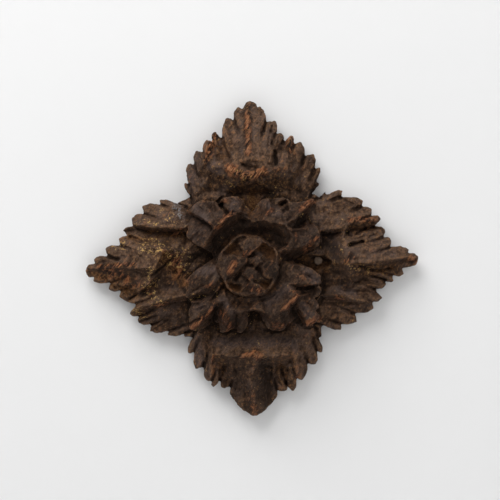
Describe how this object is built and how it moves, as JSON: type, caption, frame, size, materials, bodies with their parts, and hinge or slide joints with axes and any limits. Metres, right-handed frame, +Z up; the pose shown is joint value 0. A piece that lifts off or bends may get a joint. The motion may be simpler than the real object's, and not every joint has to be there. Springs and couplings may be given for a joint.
{
  "type": "roof boss",
  "caption": "Carved timber ceiling boss of square plan set on its corner: toothed leaves to the corners, a ruffled flower over their feet and a folded bud in the middle, with a flat back.",
  "frame": {"origin": "On the flat sawn back, behind the middle of the carving, where it lies against the beam or ceiling that carries it.", "axes": "+Y points out of the sawn back, so the carving looks towards -Y; +X is to the right as seen from the front; +Z is up as it hangs."},
  "size_m": [0.48, 0.1161, 0.455],
  "materials": {
    "carved_timber": "old dark-stained carved oak, dusty on its upward faces, rubbed red-brown along its ridges, almost black in its hollows",
    "dark_iron": "dull grey-brown forged iron"
  },
  "bodies": {
    "root": {"boss": "carved_timber", "nail": "dark_iron"}
  },
  "joints": []
}
